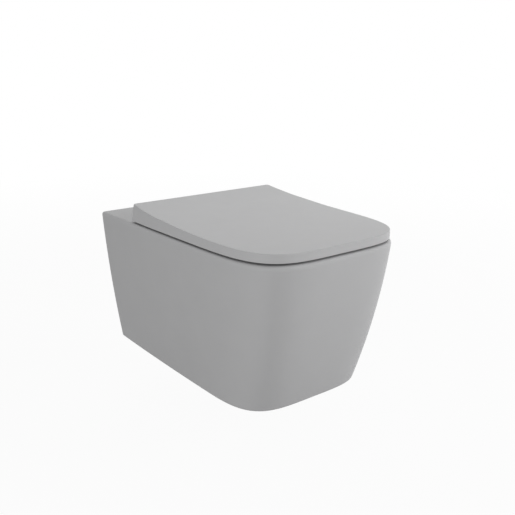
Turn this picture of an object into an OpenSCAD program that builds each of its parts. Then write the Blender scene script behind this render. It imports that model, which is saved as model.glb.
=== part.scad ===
// Wall hung toilet with a fully skirted pan, a seat ring and a wrap-over wedge lid.
// Millimetres. Front faces -Y, the wall is the plane Y = 0, up is +Z.
// The origin is midway between the two wall studs, on the wall plane.
// In the plans below, y is the distance out from the wall, so Y = -y.

/* [Pan outside] */
// Width of the rim at its widest
pan_w = 360; // [350:1:370]
// Distance from the wall to the front of the rim
projection = 570; // [555:1:585]
// Height of the pan from underside to rim
pan_h = 299; // [297:1:306]
// Height of the rim above the wall studs
rim_z = 79; // [78:1:83]
// Width of the rim where it meets the wall
rear_w = 359; // [354:1:359]
// How far each side draws in from rim to underside, at the middle of the pan
side_taper = 28.8; // [24:0.2:34]
// How far each side draws in from rim to underside, at the wall
rear_taper = 33.8; // [28:0.2:38]
// How far the front draws back from rim to underside
front_taper = 71.5; // [60:0.5:80]
// Height of the upright band below the rim
rim_band = 9; // [8:0.5:12]
// Squareness of the plan across the pan
plan_n = 4.27; // [3.6:0.01:5]
// Squareness of the plan along the pan at the rim
plan_m = 6.25; // [5:0.05:7]
// Squareness of the plan along the pan at the underside
base_m = 4.6; // [4:0.1:5.5]
// Radius of the rim's outer edge
rim_round = 5.5; // [4:0.5:6]
// Radius of the bottom edge
base_round = 4; // [3:0.5:6]

/* [Pan inside] */
// Thickness of the pan's skirt and underside
wall_t = 11; // [9:0.5:13]
// Thickness of the rim and the deck behind the seat
deck_t = 14; // [12:0.5:15]
// Thickness of the plate against the wall
back_t = 14; // [12:0.5:18]
// Width of the rim beside the bowl
rim_side_w = 42; // [38:1:50]
// Distance from the wall to the rear of the bowl's mouth
bowl_rear_y = 205; // [200:1:210]
// Width of the rim in front of the bowl
rim_front_w = 38; // [35:1:45]
// Thickness of the bowl's wall
bowl_t = 10; // [8:0.5:11]
// Height of the sump's mouth against the studs, the water level
water_z = -100; // [-104:1:-98]
// Inner radius of the trapway
trap_r = 28; // [26:0.5:29]
// Thickness of the trapway's wall
trap_t = 8.5; // [7:0.5:9]
// Depth of the flushing ledge cut at the rear of the bowl
flush_slot_h = 24; // [20:1:28]
// Width of the flushing ledge cut at the rear of the bowl
flush_slot_w = 84; // [70:1:100]

/* [Connections] */
// Distance between the two wall studs
stud_spacing = 180; // [176:1:184]
// Radius of the hole that a wall stud goes in
stud_hole_r = 6.5; // [6.3:0.1:6.8]
// Height of the flush inlet above the studs
inlet_up = 35; // [34:1:36]
// Radius of the inlet socket at its mouth
inlet_r = 27.5; // [27:0.5:28]
// Depth of the inlet socket
inlet_deep = 35; // [30:1:40]
// How much the socket's radius narrows over its depth, the draft of the casting
inlet_draft = 0.4; // [0.2:0.1:0.6]
// Radius inside the inlet seal, for a 45 mm flush pipe
seal_r = 22.6; // [22.5:0.05:22.8]
// Drop of the waste outlet below the studs
outlet_down = 100; // [98:1:102]
// Outer radius of the waste spigot
spigot_r = 51; // [50:0.5:52]
// Thickness of the waste spigot's wall
spigot_t = 6; // [5:0.5:7]
// Set-back of the spigot's end from the wall
spigot_back = 8; // [6:1:12]
// Length of the waste spigot
spigot_len = 50; // [46:1:50]
// Radius of the wall fixing bush
bush_r = 15; // [14:0.5:16]
// Length of the wall fixing bush
bush_len = 58; // [54:1:60]
// Radial clearance of the bush in its hole
bush_gap = 0.15; // [0.1:0.05:0.3]

/* [Lid] */
// Inset of the lid's outline inside the rim
lid_inset = 2.5; // [2:0.5:4]
// Gap between the rim and the lid's edge
lid_gap = 4; // [3.6:0.1:4.3]
// Height of the lid above the rim toward the front
lid_front_h = 19.4; // [19:0.1:21]
// Height of the lid above the rim at its rear
lid_rear_h = 40.6; // [39.5:0.1:43]
// Length over which the lid's wedge flattens out
lid_ramp = 121; // [110:1:130]
// Distance from the wall to the lid's rear edge at the bottom
lid_rear_y = 123.5; // [123:0.1:124.5]
// How far the lid's rear face leans forward
lid_lean = 12.9; // [11.5:0.1:13.5]
// Thickness of the lid's top
lid_t = 4.5; // [4:0.1:4.8]
// Thickness of the lid's skirt
lid_skirt_t = 4; // [3.5:0.1:4.5]
// Radius of the lid's upper edge
lid_round = 2.5; // [1.5:0.1:3]
// Width of the lid at its rear edge
lid_rear_w = 350.2; // [344:0.1:351]

/* [Seat] */
// Inset of the seat's outline inside the lid's outline
seat_inset = 6.5; // [6:0.1:8]
// Height of the seat's underside above the rim
seat_up = 4; // [3.8:0.1:4.3]
// Thickness of the seat
seat_t = 8.5; // [8:0.1:8.8]
// Distance from the wall to the seat's rear edge
seat_rear_y = 164; // [163.5:0.5:167]
// Width of the seat beside its opening
seat_side_w = 61; // [57:1:67]
// Distance from the wall to the rear of the seat's opening
seat_hole_rear = 246; // [240:1:252]
// Width of the seat in front of its opening
seat_front_w = 53; // [47:1:63]

/* [Hinges] */
// Distance between the two seat fixing holes
hinge_spacing = 155; // [153:1:157]
// Distance from the wall to the seat fixing holes
post_y = 148; // [147.5:0.5:149]
// Distance from the wall to the hinge axis
axis_y = 132.5; // [132.3:0.1:133]
// Height of the hinge axis above the rim
axis_up = 21; // [20.8:0.1:21.4]
// Width of each hinge block
block_w = 35; // [33:0.5:36]
// Radius of the hinge block's barrel
barrel_r = 9; // [8.8:0.1:9.2]
// Radius of the hinge shafts
shaft_r = 3; // [2.8:0.1:3.2]
// Running clearance round the hinge shafts
run_gap = 0.08; // [0.04:0.01:0.1]
// Radius of the quick-release posts
post_r = 5.9; // [5.6:0.1:6]
// Sliding clearance round the posts and buttons
slide_gap = 0.15; // [0.1:0.05:0.25]
// Radius of the release buttons
button_r = 4.5; // [4:0.1:4.7]
// Travel of the release buttons
button_travel = 1.6; // [1.2:0.1:1.7]
// Radius of the seat fixing bolts
bolt_r = 3; // [2.9:0.1:3.2]
// Radius of the seat fixing holes in the deck
fix_hole_r = 7.5; // [7.4:0.1:8]
// Radius of the rosettes round the posts
rosette_r = 17; // [15:0.5:18]
// Thickness of the rosettes
rosette_t = 3; // [2.5:0.1:3]
// How far the expanding plugs reach below the deck
plug_drop = 13; // [12:0.5:16]
// Height of the plug nuts
nut_h = 9; // [8:0.5:10]

/* [Wall fixings] */
// Wall round the bushes and the flush duct
boss_t = 9; // [8:0.5:9.5]
// Distance from the wall to the clamp screws
clamp_y = 36; // [32:1:40]
// Radius of the clamp screws
clamp_r = 4; // [3.5:0.5:4]
// Radius of the clamp screws' heads
clamp_head_r = 6.5; // [6:0.5:7]
// Height of the clamp screws' heads
clamp_head_h = 6; // [5:0.5:7]
// Radius of the washers, and of the key holes below them
washer_r = 9; // [8.5:0.5:10]
// Thickness of the washers
washer_t = 3; // [2:0.5:3]

/* [Hidden] */
$fn = 96;

glaze = [0.72, 0.72, 0.73];
shell_grey = [0.70, 0.70, 0.71];
steel = [0.78, 0.78, 0.80];
chrome = [0.85, 0.86, 0.88];
plastic = [0.35, 0.36, 0.38];
rubber = [0.16, 0.16, 0.17];

base_z = rim_z - pan_h;
axis_z = rim_z + axis_up;
hinge_x = hinge_spacing / 2;
stud_x = stud_spacing / 2;
inlet_z = inlet_up;
outlet_z = -outlet_down;
bowl_hw = pan_w / 2 - rim_side_w;
bowl_front_y = projection - rim_front_w;
widest_y = 224;
base_widest_y = 307;
side_bow = 0.43;
rear_bow = 0.45;
front_bow = 0.48;
pan_corner = 3;
lid_corner = 7;
seat_corner = 9;
corner_steps = 3;
side_steps = 7;
front_steps = 32;

// Plans: right half from the wall forward, then the left half back again
function side_x(hw, rw, ry, wy, y) = hw - (hw - rw) * pow((wy - y) / (wy - ry), 2);

function half_plan(hw, rw, ry, wy, fy, n, m, cr) = concat(
    [for (k = [0 : corner_steps]) let (a = 90 * k / corner_steps)
        [rw - cr + cr * sin(a), ry + cr - cr * cos(a)]],
    [for (k = [1 : side_steps - 1]) let (y = ry + cr + (wy - ry - cr) * k / side_steps)
        [side_x(hw, rw, ry, wy, y), y]],
    [for (k = [0 : front_steps]) let (t = 90 * k / front_steps)
        [hw * pow(cos(t), 2 / n), wy + (fy - wy) * pow(sin(t), 2 / m)]]);

function whole_plan(half) = concat(half, [for (k = [len(half) - 2 : -1 : 0]) [-half[k].x, half[k].y]]);

function flat_ring(plan, z) = [for (p = plan) [p.x, -p.y, z]];

function mix(a, b, t) = a + (b - a) * t;

// Skins: a stack of rings, closed at both ends or joined round
function band_faces(n, a, b) = [for (i = [0 : n - 1]) let (j = (i + 1) % n)
    each [[a * n + i, a * n + j, b * n + j], [a * n + i, b * n + j, b * n + i]]];

function strip_faces(n, r, up) = let (h = (n - 1) / 2) [for (i = [0 : h - 1])
    let (q = i == h - 1 ? [i, i + 1, n - 1 - i] : [i, i + 1, n - 2 - i, n - 1 - i])
    up ? [for (v = q) r * n + v] : [for (k = [len(q) - 1 : -1 : 0]) r * n + q[k]]];

module skin(rings) {
    n = len(rings[0]);
    last = len(rings) - 1;
    polyhedron(points = [for (r = rings) each r],
        faces = concat(strip_faces(n, 0, false),
            [for (k = [0 : last - 1]) each band_faces(n, k, k + 1)],
            strip_faces(n, last, true)));
}

module flat_skin(rings) {
    n = len(rings[0]);
    last = len(rings) - 1;
    polyhedron(points = [for (r = rings) each r],
        faces = concat([[for (i = [n - 1 : -1 : 0]) i]],
            [for (k = [0 : last - 1]) each band_faces(n, k, k + 1)],
            [[for (i = [0 : n - 1]) last * n + i]]));
}

module ring_skin(rings) {
    n = len(rings[0]);
    k = len(rings);
    polyhedron(points = [for (r = rings) each r],
        faces = [for (i = [0 : k - 1]) each band_faces(n, i, (i + 1) % k)]);
}

module bar(r, y, z, x0, w) {
    translate([x0, -y, z])
        rotate([0, 90, 0])
            cylinder(r = r, h = w);
}

// A rod that starts at distance y from the wall and runs forward.
module rod(r, x, y, z, len) {
    translate([x, -y, z])
        rotate([90, 0, 0])
            cylinder(r = r, h = len);
}

module both() {
    children();
    mirror([1, 0, 0])
        children();
}

// The pan
function bowed(q, k) = (1 - k) * q + k * q * q;

function pan_plan(z, inset, ry) =
    let (q = (rim_z - z) / pan_h,
         band = rim_band / pan_h,
         qb = max(0, (q - band) / (1 - band)))
    whole_plan(half_plan(
        pan_w / 2 - side_taper * bowed(qb, side_bow) - inset,
        rear_w / 2 - rear_taper * bowed(q, rear_bow) - inset,
        ry,
        mix(widest_y, base_widest_y, q),
        projection - front_taper * bowed(qb, front_bow) - inset,
        plan_n,
        mix(plan_m, base_m, q),
        pan_corner));

module pan_outside() {
    foot = base_z + base_round;
    shoulder = rim_z - rim_band;
    rise = shoulder - foot;
    steps = 7;
    flat_skin(concat(
        [for (k = [0 : 2]) let (a = 30 * k)
            flat_ring(pan_plan(base_z + base_round * (1 - cos(a)), base_round * (1 - sin(a)), 0),
                base_z + base_round * (1 - cos(a)))],
        [for (k = [0 : steps]) let (z = foot + rise * k / steps) flat_ring(pan_plan(z, 0, 0), z)],
        [for (k = [0 : 4]) let (a = 22.5 * k, z = rim_z - rim_round * (1 - sin(a)))
            flat_ring(pan_plan(z, rim_round * (1 - cos(a)), 0), z)]));
}

// The hollow between the skirt and the bowl.
module pan_hollow() {
    low = base_z + wall_t;
    high = rim_z - deck_t;
    steps = 5;
    flat_skin([for (k = [0 : steps]) let (z = mix(low, high, k / steps))
        flat_ring(pan_plan(z, wall_t, back_t), z)]);
}

// Opening in the back plate round the waste outlet.
opening_hw = 116;
opening_top_z = -34;
opening_sill = 3;
opening_r = 20;

module pan_back_opening() {
    high = opening_top_z;
    low = base_z + wall_t + opening_sill;
    hw = opening_hw;
    r = opening_r;
    translate([0, 1, 0])
        rotate([90, 0, 0])
            linear_extrude(back_t + 2)
                union() {
                    translate([-hw + r, low])
                        square([2 * (hw - r), high - low]);
                    translate([-hw, low + r])
                        square([2 * hw, high - low - 2 * r]);
                    for (x = [-hw + r, hw - r], y = [low + r, high - r])
                        translate([x, y])
                            circle(r = r);
                }
}

bowl_n = 2.6;
bowl_steps = 56;
sump_hw = 58;
sump_y = 292;
sump_half = 54;
floor_hw = 30;
floor_half = 30;
trap_floor_z = base_z + wall_t + 3.5;

function oval_ring(hw, y0, y1, n, z) = [for (k = [0 : bowl_steps - 1])
    let (t = 360 * k / bowl_steps, c = cos(t), s = sin(t))
    [hw * sign(c) * pow(abs(c), 2 / n), -((y0 + y1) / 2 + (y1 - y0) / 2 * sign(s) * pow(abs(s), 2 / n)), z]];

// The bowl's plan at a height, let out by a wall thickness.
function bowl_ring(z, grow) =
    let (w = min(1, max(0, (rim_z - z) / (rim_z - water_z))),
         g = pow(1 - pow(w, 1.6), 0.8),
         v = max(0, min(1, (water_z - z) / (water_z - trap_floor_z))),
         hw = z > water_z ? mix(sump_hw, bowl_hw, g) : mix(sump_hw, floor_hw, bowed(v, 0.3)),
         y0 = z > water_z ? mix(sump_y - sump_half, bowl_rear_y, g)
                          : mix(sump_y - sump_half, sump_y - floor_half, v),
         y1 = z > water_z ? mix(sump_y + sump_half, bowl_front_y, g)
                          : mix(sump_y + sump_half, sump_y + floor_half, bowed(v, 0.3)))
    oval_ring(hw + grow, y0 - grow, y1 + grow, mix(2.2, bowl_n, w < 1 ? g : 0), z);

module bowl_inside() {
    lip = 5;
    flat_skin(concat(
        [flat_shift(bowl_ring(trap_floor_z + 6, -7), trap_floor_z),
         flat_shift(bowl_ring(trap_floor_z + 8, -2), trap_floor_z + 3)],
        [for (k = [0 : 3]) bowl_ring(mix(trap_floor_z + 10, water_z, k / 3.5), 0)],
        [for (k = [0 : 9]) bowl_ring(mix(water_z, rim_z - lip, pow(k / 9, 1.15)), 0)],
        [for (k = [1 : 3]) let (a = 30 * k) bowl_ring(rim_z - lip * (1 - sin(a)), lip * (1 - cos(a)))],
        [flat_shift(bowl_ring(rim_z, lip), rim_z + 1)]));
}

function flat_shift(ring, z) = [for (p = ring) [p.x, p.y, z]];

module bowl_outside() {
    flat_skin(concat(
        [flat_shift(bowl_ring(trap_floor_z + 6, bowl_t - 2), base_z + 4)],
        [for (k = [0 : 3]) bowl_ring(mix(trap_floor_z + 10, water_z, k / 3.5), bowl_t)],
        [for (k = [0 : 5]) bowl_ring(mix(water_z, rim_z - deck_t / 2, pow(k / 5, 1.15)), bowl_t)]));
}

// The trapway: back from the sump, up, over the crown, down and level again into the spigot.
trap_bend = 48;
trap_rise = 60;
trap_fall = 30;
trap_tail_bend = 60;
trap_from_y = sump_y;
trap_turn_y = 240;
trap_leg = 62;
trap_low_z = trap_floor_z + trap_r;
leg_y = trap_turn_y - trap_bend * sin(trap_rise);
leg_z = trap_low_z + trap_bend * (1 - cos(trap_rise));
crown_y = leg_y - trap_leg * cos(trap_rise) - trap_bend * sin(trap_rise);
crown_z = leg_z + trap_leg * sin(trap_rise) - trap_bend * cos(trap_rise);
fall_y = crown_y - trap_bend * sin(trap_fall);
fall_z = crown_z + trap_bend * cos(trap_fall);
fall_len = (fall_z - outlet_z - trap_tail_bend * (1 - cos(trap_fall))) / sin(trap_fall);
tail_y = fall_y - fall_len * cos(trap_fall);
tail_z = fall_z - fall_len * sin(trap_fall);
tail_share = 0.4;

tube_steps = 28;

// A circle across the trapway at a station: distance from wall, height, climb angle and radius.
function tube_ring(y, z, climb, r) = [for (k = [0 : tube_steps - 1]) let (a = 360 * k / tube_steps)
    [r * cos(a), -(y + r * sin(a) * sin(climb)), z + r * sin(a) * cos(climb)]];

module trap_run(r, end_r) {
    flat_skin(concat(
        [tube_ring(trap_from_y, trap_low_z, 0, r)],
        [for (k = [0 : 5]) let (h = trap_rise * k / 5)
            tube_ring(trap_turn_y - trap_bend * sin(h), trap_low_z + trap_bend * (1 - cos(h)), h, r)],
        [for (k = [0 : 6]) let (h = trap_rise - (trap_rise + trap_fall) * k / 6)
            tube_ring(crown_y + trap_bend * sin(h), crown_z + trap_bend * cos(h), h, r)],
        [for (k = [0 : 3]) let (h = trap_fall * (1 - k / 3))
            tube_ring(tail_y - trap_tail_bend * (sin(trap_fall) - sin(h)),
                tail_z - trap_tail_bend * (cos(h) - cos(trap_fall)),
                -h, mix(r, end_r, mix(tail_share, 1, k / 3)))]));
}

module pan() {
    color(glaze)
    difference() {
        union() {
            difference() {
                pan_outside();
                pan_hollow();
                pan_back_opening();
            }
            bowl_outside();
            trap_run(trap_r + trap_t, spigot_r - 2);
            rod(spigot_r, 0, spigot_back, outlet_z, spigot_len);
            rod(inlet_r + socket_wall, 0, back_t / 2, inlet_z, inlet_deep + socket_wall - back_t / 2);
            rod(flush_bore_r + boss_t, 0, inlet_deep, inlet_z, bowl_rear_y - inlet_deep - bowl_t);
            flush_head(boss_t);
            both()
                rod(bush_r + boss_t, stud_x, back_t / 2, 0, bush_len);
        }
        bowl_inside();
        trap_run(trap_r, spigot_r - spigot_t - 1);
        rod(spigot_r - spigot_t, 0, spigot_back - 1, outlet_z, spigot_len);
        inlet_socket();
        rod(flush_bore_r, 0, inlet_deep - 1, inlet_z, bowl_rear_y - inlet_deep);
        flush_head(0);
        both() {
            rod(bush_r + bush_gap, stud_x, -1, 0, bush_len + 2);
            translate([stud_x, -clamp_y, base_z - 1])
                cylinder(r = washer_r, h = wall_t + 2);
            translate([stud_x, -clamp_y, boss_low - 3])
                cylinder(r = clamp_r + clamp_play, h = boss_t + 5);
            translate([hinge_x, -post_y, rim_z - deck_t - 1])
                cylinder(r = fix_hole_r, h = deck_t + 2);
        }
    }
}

flush_bore_r = 20;
socket_wall = 8;
clamp_play = 0.6;

// The tapered socket that holds the inlet seal.
module inlet_socket() {
    slope = inlet_draft / inlet_deep;
    translate([0, 0, inlet_z])
        rotate([90, 0, 0])
            rotate_extrude()
                polygon([[0, -1], [inlet_r + slope, -1], [inlet_r - inlet_draft, inlet_deep],
                    [0, inlet_deep]]);
}

// The ledge through which the water enters at the rear of the bowl.
flush_head_len = 45;

module flush_head(grow) {
    y0 = bowl_rear_y - flush_head_len - grow;
    y1 = bowl_rear_y + (grow > 0 ? 4 : 12);
    h = flush_slot_h + 2 * grow;
    w = flush_slot_w + 2 * grow;
    z = inlet_z - h / 2;
    r = 8;
    translate([0, -y0, z + h / 2])
        rotate([90, 0, 0])
            linear_extrude(y1 - y0)
                union() {
                    square([w - 2 * r, h], center = true);
                    square([w, h - 2 * r], center = true);
                    for (x = [-1, 1], y = [-1, 1])
                        translate([x * (w / 2 - r), y * (h / 2 - r)])
                            circle(r = r);
                }
}

// The lid
lid_hw = pan_w / 2 - lid_inset;
lid_front_y = projection - lid_inset;
lid_low = rim_z + lid_gap;
lid_top_rear_y = lid_rear_y + lid_lean;

function lid_top(y) = rim_z + lid_front_h
    + (lid_rear_h - lid_front_h) * exp(-(y - lid_top_rear_y) / lid_ramp);

function lid_back(z) = lid_rear_y + lid_lean * (z - lid_low) / (lid_rear_h - lid_gap);

function lid_plan(inset, ry) = whole_plan(half_plan(lid_hw - inset, lid_rear_w / 2 - inset, ry, widest_y,
    lid_front_y - inset, plan_n, plan_m, lid_corner - inset));

// A ring that follows the lid's top, lowered and drawn in.
function lid_ring(drop, inset) =
    let (ry = lid_back(rim_z + lid_rear_h - drop) + inset)
    [for (p = lid_plan(inset, ry)) [p.x, -p.y, lid_top(max(p.y, ry)) - drop]];

module lid_shell() {
    fillet = 1.5;
    ease = 0.8;
    skin(concat(
        [lid_ring(lid_t, lid_skirt_t + fillet),
         lid_ring(lid_t + fillet, lid_skirt_t),
         flat_ring(lid_plan(lid_skirt_t, lid_rear_y + lid_skirt_t), lid_low),
         flat_ring(lid_plan(ease, lid_rear_y + ease), lid_low),
         flat_ring(lid_plan(0, lid_back(lid_low + ease)), lid_low + ease)],
        [for (k = [0 : 3]) let (a = 30 * k)
            lid_ring(lid_round * (1 - sin(a)), lid_round * (1 - cos(a)))]));
}

lug_r = 8;
seat_lug_w = 12;
lid_lug_w = 8;
lug_gap = 1.2;
block_in = hinge_x - block_w / 2;
block_out = hinge_x + block_w / 2;
shaft_x0 = block_in - lug_gap - seat_lug_w;
shaft_x1 = block_out + lug_gap + lid_lug_w;
notch_in = shaft_x0 - 1.5;
notch_out = shaft_x1 + 6;
notch_high = axis_z + 11;

module lug_profile(points) {
    union() {
        translate([-axis_y, axis_z])
            circle(r = lug_r);
        polygon([for (p = points) [-p.x, p.y]]);
    }
}

module side_extrude(x0, w) {
    translate([x0, 0, 0])
        rotate([90, 0, 90])
            linear_extrude(w)
                children();
}

// Buffers under the lid and seat: distance in from the rim's side, then from the rim's front for the
// front pair and from the rear of the seat's opening for the rear pair.
lid_pad_front = [48, 64];
lid_pad_rear = [30, 11];
seat_pad_front = [56, 82];
seat_pad_rear = [40, -6];
lid_pad_points = pad_points(lid_pad_front, lid_pad_rear);
seat_pad_points = pad_points(seat_pad_front, seat_pad_rear);

function pad_points(front, rear) =
    [[pan_w / 2 - front.x, projection - front.y], [pan_w / 2 - rear.x, seat_hole_rear - rear.y]];

pad_z = rim_z + seat_up + seat_t;
pad_boss_h = 0.3;
pad_h = lid_top(lid_pad_points[0].y) - lid_t - pad_boss_h - pad_z;
pad_r = 6;
peg_r = 2.5;
peg_h = 2.8;

module lid() {
    top_y = axis_y + 22;
    color(shell_grey)
    difference() {
        union() {
            difference() {
                lid_shell();
                for (x = [-notch_out, notch_in])
                    translate([x, -(lid_top_rear_y + 6), lid_low - 1])
                        cube([notch_out - notch_in, 20, notch_high - lid_low + 1]);
            }
            both()
                side_extrude(block_out + lug_gap, lid_lug_w)
                    lug_profile([
                        [axis_y - lug_r * 0.9, axis_z + 3],
                        [lid_top_rear_y + 1.5, lid_top(lid_top_rear_y) - lid_t / 2 - 1],
                        [top_y, lid_top(top_y) - lid_t / 2],
                        [axis_y + lug_r, axis_z]]);
            for (p = lid_pad_points, s = [-1, 1])
                translate([s * p.x, -p.y, pad_z + pad_h])
                    cylinder(r = pad_r + 1, h = lid_top(p.y) - lid_t / 2 - pad_z - pad_h);
        }
        both()
            bar(shaft_r + run_gap, axis_y, axis_z, block_out, lug_gap + lid_lug_w + 1);
        for (p = lid_pad_points, s = [-1, 1])
            translate([s * p.x, -p.y, pad_z])
                cylinder(r = peg_r, h = pad_h + peg_h);
    }
}

module lid_buffers() {
    color(rubber)
    for (p = lid_pad_points, s = [-1, 1])
        translate([s * p.x, -p.y, pad_z]) {
            cylinder(r = pad_r, h = pad_h);
            cylinder(r = peg_r, h = pad_h + peg_h);
        }
}

// The seat
seat_hw = lid_hw - seat_inset;
seat_front_y = lid_front_y - seat_inset;
seat_widest_y = widest_y + 40;
seat_hole_hw = seat_hw - seat_side_w;
seat_hole_front = seat_front_y - seat_front_w;
seat_hole_wide_y = mix(seat_hole_rear, seat_hole_front, 0.435);
seat_hole_n = 2.7;
hole_rear_steps = 14;
hole_rear_turn = 84;

function seat_plan(inset) = whole_plan(half_plan(seat_hw - inset, lid_rear_w / 2 - seat_inset - inset,
    seat_rear_y + inset, seat_widest_y, seat_front_y - inset, plan_n, plan_m, seat_corner - inset));

// The opening: two half superellipses that meet at its widest, with as many points as the seat's outline.
function seat_hole(grow) =
    let (hw = seat_hole_hw + grow,
         back = seat_hole_wide_y - seat_hole_rear + grow,
         ahead = seat_hole_front + grow - seat_hole_wide_y,
         front_count = corner_steps + side_steps + front_steps - hole_rear_steps,
         e = 2 / seat_hole_n)
    whole_plan(concat(
        [for (k = [0 : hole_rear_steps - 1]) let (t = hole_rear_turn * (1 - k / hole_rear_steps))
            [hw * pow(cos(t), e), seat_hole_wide_y - back * pow(sin(t), e)]],
        [for (k = [0 : front_count]) let (t = 90 * k / front_count)
            [hw * pow(cos(t), e), seat_hole_wide_y + ahead * pow(sin(t), e)]]));

module seat_ring() {
    low = rim_z + seat_up;
    top = low + seat_t;
    r = 3;
    under = 1.5;
    ring_skin(concat(
        [flat_ring(seat_hole(under), low),
         flat_ring(seat_plan(under), low),
         flat_ring(seat_plan(0), low + under)],
        [for (k = [0 : 3]) let (a = 30 * k)
            flat_ring(seat_plan(r * (1 - cos(a))), top - r * (1 - sin(a)))],
        [flat_ring(seat_hole(14), top),
         flat_ring(seat_hole(6), top - 0.7),
         flat_ring(seat_hole(under), top - 2.2),
         flat_ring(seat_hole(0), low + 2 * under)]));
}

module seat() {
    low = rim_z + seat_up;
    arm_y = seat_rear_y + 14;
    color(shell_grey)
    difference() {
        union() {
            seat_ring();
            both()
                side_extrude(block_in - lug_gap - seat_lug_w, seat_lug_w)
                    lug_profile([
                        [axis_y, axis_z + lug_r],
                        [seat_rear_y + 4, low + seat_t],
                        [arm_y, low + seat_t - 1],
                        [arm_y, low + 1],
                        [seat_rear_y - 4, low + 1],
                        [axis_y, axis_z - lug_r]]);
        }
        both()
            bar(shaft_r + run_gap, axis_y, axis_z, shaft_x0 - 1, seat_lug_w + 2);
        for (p = seat_pad_points, s = [-1, 1])
            translate([s * p.x, -p.y, low - 1])
                cylinder(r = peg_r, h = 1 + peg_h);
    }
}

module seat_buffers() {
    color(rubber)
    for (p = seat_pad_points, s = [-1, 1])
        translate([s * p.x, -p.y, rim_z]) {
            cylinder(r = pad_r + 1, h = seat_up);
            cylinder(r = peg_r, h = seat_up + peg_h);
        }
}

// The hinges
block_low = rim_z + rosette_t + 0.3;
block_high = rim_z + 25;
block_front_y = post_y + 13;
socket_r = post_r + slide_gap;
socket_top = block_high - 3;
post_top = socket_top - button_travel - 2.6;
damper_r = 6.8;

module hinge_block() {
    difference() {
        side_extrude(block_in, block_w)
            union() {
                translate([-axis_y, axis_z])
                    circle(r = barrel_r);
                polygon([
                    [-(axis_y + 3), block_low],
                    [-(axis_y - 3), axis_z - barrel_r * 0.9],
                    [-axis_y, axis_z + barrel_r],
                    [-(axis_y + 6), axis_z + barrel_r - 2],
                    [-(axis_y + 10), block_high],
                    [-(block_front_y - 3), block_high],
                    [-block_front_y, block_high - 3],
                    [-block_front_y, block_low]]);
            }
        bar(damper_r + 0.05, axis_y, axis_z, block_in - 1, block_w + 2);
        translate([hinge_x, -post_y, block_low - 1])
            cylinder(r = socket_r, h = socket_top - block_low + 1);
        translate([hinge_x, -post_y, socket_top - 1])
            cylinder(r = button_r + slide_gap, h = 6);
    }
}

module hinge_block_right() {
    color(chrome)
    hinge_block();
}

module hinge_block_left() {
    color(chrome)
    mirror([1, 0, 0])
        hinge_block();
}

module damper() {
    difference() {
        bar(damper_r, axis_y, axis_z, block_in + 0.5, block_w - 1);
        bar(shaft_r + run_gap, axis_y, axis_z, block_in - 1, block_w + 2);
    }
}

module damper_right() {
    color(plastic)
    damper();
}

module damper_left() {
    color(plastic)
    mirror([1, 0, 0])
        damper();
}

module hinge_shaft() {
    bar(shaft_r, axis_y, axis_z, shaft_x0 + 0.5, shaft_x1 - shaft_x0 - 1);
}

module hinge_shaft_right() {
    color(steel)
    hinge_shaft();
}

module hinge_shaft_left() {
    color(steel)
    mirror([1, 0, 0])
        hinge_shaft();
}

module release_button() {
    flange = 1.6;
    translate([hinge_x, -post_y, socket_top - flange])
        union() {
            cylinder(r = socket_r - 0.2, h = flange - 0.1);
            cylinder(r = button_r, h = flange + 3 + 2);
        }
}

module release_button_right() {
    color(plastic)
    release_button();
}

module release_button_left() {
    color(plastic)
    mirror([1, 0, 0])
        release_button();
}

plug_low = rim_z - deck_t - plug_drop;

// Stainless post and bolt in one: the head is the pin that the hinge block slips over.
module hinge_posts() {
    z0 = rim_z + rosette_t;
    low = plug_low - nut_h - 3;
    color(steel)
    both()
        translate([hinge_x, -post_y, 0])
            rotate_extrude()
                polygon([[0, low], [bolt_r, low], [bolt_r, z0], [post_r, z0],
                    [post_r, post_top - 6], [post_r - 1, post_top - 5], [post_r - 1, post_top - 3],
                    [post_r, post_top - 2], [post_r - 1.2, post_top], [0, post_top]]);
}

module hinge_rosettes() {
    r = rosette_r;
    color(chrome)
    both()
        translate([hinge_x, -post_y, rim_z])
            rotate_extrude()
                polygon([[bolt_r + 0.2, 0], [r, 0], [r, rosette_t - 1], [r - 1, rosette_t],
                    [bolt_r + 0.2, rosette_t]]);
}

module fixing_plugs() {
    in_r = bolt_r + 0.2;
    under = rim_z - deck_t;
    color(rubber)
    both()
        translate([hinge_x, -post_y, 0])
            rotate_extrude()
                polygon([[in_r, plug_low], [fix_hole_r - 0.5, plug_low], [fix_hole_r + 2, plug_low + 5],
                    [fix_hole_r + 2, under - 2], [fix_hole_r - 0.1, under], [fix_hole_r - 0.1, rim_z],
                    [in_r, rim_z]]);
}

module plug_nuts() {
    color(plastic)
    both()
        translate([hinge_x, -post_y, plug_low - nut_h])
            difference() {
                cylinder(r = fix_hole_r - 0.4, h = nut_h, $fn = 6);
                translate([0, 0, -1])
                    cylinder(r = bolt_r + 0.05, h = nut_h + 2);
            }
}

// Wall fixings and inlet seal
boss_low = -(bush_r + boss_t);

module fixing_bushes() {
    color(plastic)
    both()
        difference() {
            rod(bush_r, stud_x, 0, 0, bush_len);
            rod(stud_hole_r, stud_x, -1, 0, bush_len + 2);
            translate([stud_x, -clamp_y, -bush_r - 1])
                cylinder(r = clamp_r + 0.05, h = bush_r);
        }
}

module clamp_washers() {
    color(rubber)
    both()
        translate([stud_x, -clamp_y, boss_low - washer_t])
            difference() {
                cylinder(r = washer_r, h = washer_t);
                translate([0, 0, -1])
                    cylinder(r = clamp_r + 0.1, h = washer_t + 2);
            }
}

module clamp_screws() {
    head_z = boss_low - washer_t - clamp_head_h;
    color(steel)
    both()
        translate([stud_x, -clamp_y, head_z])
            difference() {
                union() {
                    cylinder(r = clamp_head_r, h = clamp_head_h);
                    cylinder(r = clamp_r, h = -stud_hole_r - clamp_play - head_z);
                }
                translate([0, 0, -1])
                    cylinder(r = 3, h = 4.5, $fn = 6);
            }
}

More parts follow.
